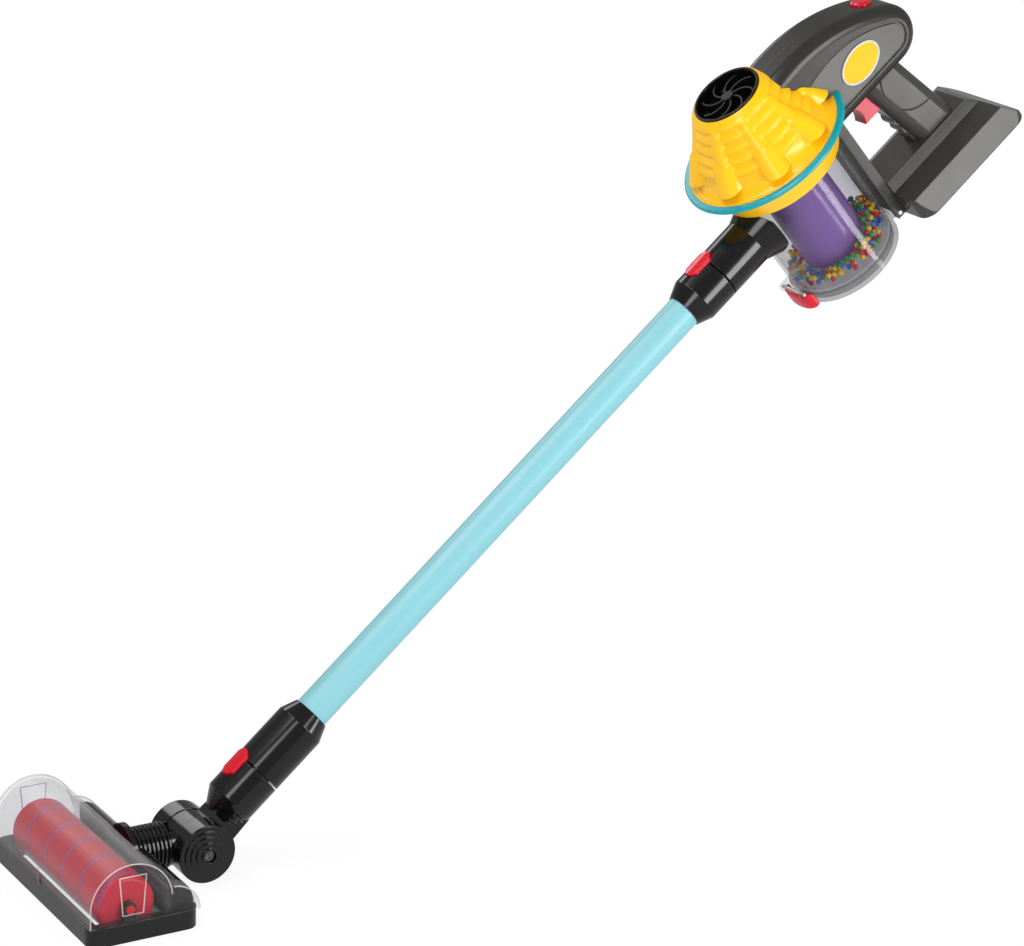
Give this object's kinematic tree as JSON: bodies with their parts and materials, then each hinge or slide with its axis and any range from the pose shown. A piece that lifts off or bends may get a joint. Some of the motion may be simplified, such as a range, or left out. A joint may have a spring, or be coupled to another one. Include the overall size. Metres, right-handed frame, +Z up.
{
  "type": "toy vacuum cleaner",
  "caption": "toy stick vacuum with clear bead bin, cyclone head, trigger grip, plug-in wand and a tilting clear floor head with a turning roller",
  "frame": {"origin": "middle of the floor head's sole, on the floor", "axes": "+X to the rear along the wand's run, +Y to the toy's right, +Z up"},
  "size_m": [0.7238, 0.158, 0.5427],
  "materials": {
    "yellow_gloss": "glossy moulded yellow plastic",
    "teal_gloss": "glossy teal plastic",
    "purple_gloss": "glossy purple plastic",
    "wand_cyan": "glossy pale cyan plastic tube",
    "black_gloss": "glossy black plastic",
    "charcoal_gloss": "glossy charcoal plastic",
    "red_gloss": "glossy red plastic",
    "trigger_pink": "soft red plastic",
    "roller_crimson": "crimson foam sleeve with thin purple lines",
    "clear_plastic": "clear plastic with a faint grey tint",
    "pale_plastic": "pale grey plastic",
    "bead_green": "green plastic bead",
    "bead_blue": "blue plastic bead",
    "board_green": "circuit board",
    "steel": "plain steel"
  },
  "bodies": {
    "hand_unit": {"body_left_shell": "charcoal_gloss", "body_right_shell": "charcoal_gloss", "badge_left": "yellow_gloss", "badge_right": "yellow_gloss", "shell_screws": "steel", "grip_left": "charcoal_gloss", "grip_right": "charcoal_gloss", "trigger_switch": "black_gloss", "power_switch": "black_gloss", "circuit_board": "board_green", "speaker": "black_gloss", "bin_spine": "charcoal_gloss", "battery_base": "charcoal_gloss", "battery_door": "charcoal_gloss", "battery_cells": "steel", "battery_contacts": "steel", "door_screw": "steel", "cone_collar": "yellow_gloss", "brim_ring": "teal_gloss", "cyclone_cone": "yellow_gloss", "fan_cup": "black_gloss", "motor": "steel", "dust_bin": "clear_plastic", "bin_core": "purple_gloss", "core_ring": "pale_plastic", "bead_floor": "clear_plastic", "beads_red": "red_gloss", "beads_yellow": "yellow_gloss", "beads_green": "bead_green", "beads_blue": "bead_blue", "lid_hinge_pin": "steel", "latch_pin": "steel", "inlet_pipe": "black_gloss"},
    "trigger": {"trigger": "trigger_pink"},
    "power_button": {"power_button": "red_gloss"},
    "fan": {"fan": "black_gloss", "fan_shaft": "steel"},
    "bin_lid": {"bin_lid": "clear_plastic"},
    "bin_latch": {"bin_latch": "red_gloss"},
    "wand": {"wand_tube": "wand_cyan", "wand_top_collar": "black_gloss", "wand_low_collar": "black_gloss"},
    "wand_button": {"wand_button": "red_gloss"},
    "neck_socket": {"neck_socket": "black_gloss"},
    "neck_button": {"neck_button": "red_gloss"},
    "floor_head": {"pivot_yoke": "black_gloss", "pivot_pin": "steel", "pivot_caps": "black_gloss", "pivot_screws": "steel", "ribbed_neck": "black_gloss", "head_base": "black_gloss", "head_cover": "clear_plastic", "head_deck": "black_gloss", "roller_axles": "red_gloss", "head_screws": "steel"},
    "roller": {"roller": "roller_crimson"}
  },
  "joints": [
    {"name": "trigger_pull", "type": "slide", "parent": "hand_unit", "child": "trigger", "axis": [0.7547, 0, 0.6561], "range_m": [0, 0.005], "stiffness_N_per_m": 120, "springref_m": -0.001},
    {"name": "power_press", "type": "slide", "parent": "hand_unit", "child": "power_button", "axis": [0.1523, 0, -0.9883], "range_m": [0, 0.002], "stiffness_N_per_m": 300, "springref_m": -0.0008},
    {"name": "fan_spin", "type": "hinge", "parent": "hand_unit", "child": "fan", "pos_m": [0.46402, 0, 0.48098], "axis": [-0.6561, 0, 0.7547], "continuous": true},
    {"name": "lid_open", "type": "hinge", "parent": "hand_unit", "child": "bin_lid", "pos_m": [0.60029, 0, 0.39433], "axis": [0, -1, 0], "range_deg": [0, 85]},
    {"name": "latch_press", "type": "hinge", "parent": "hand_unit", "child": "bin_latch", "pos_m": [0.52483, 0, 0.34305], "axis": [0, 1, 0], "range_deg": [0, 16], "stiffness_Nm_per_rad": 0.1, "springref_deg": -5.73},
    {"name": "wand_pull", "type": "slide", "parent": "hand_unit", "child": "wand", "axis": [-0.7547, 0, -0.6561], "range_m": [0, 0.03]},
    {"name": "wand_button_press", "type": "slide", "parent": "wand", "child": "wand_button", "axis": [0.6561, 0, -0.7547], "range_m": [0, 0.0012], "stiffness_N_per_m": 300, "springref_m": -0.0005},
    {"name": "neck_pull", "type": "slide", "parent": "wand", "child": "neck_socket", "axis": [-0.7547, 0, -0.6561], "range_m": [0, 0.03]},
    {"name": "neck_button_press", "type": "slide", "parent": "neck_socket", "child": "neck_button", "axis": [0.6561, 0, -0.7547], "range_m": [0, 0.0012], "stiffness_N_per_m": 300, "springref_m": -0.0005},
    {"name": "head_tilt", "type": "hinge", "parent": "neck_socket", "child": "floor_head", "pos_m": [0.069, 0, 0.021], "axis": [0, 1, 0], "range_deg": [-30, 50]},
    {"name": "roller_spin", "type": "hinge", "parent": "floor_head", "child": "roller", "pos_m": [-0.009, 0, 0.0205], "axis": [0, 1, 0], "continuous": true}
  ]
}
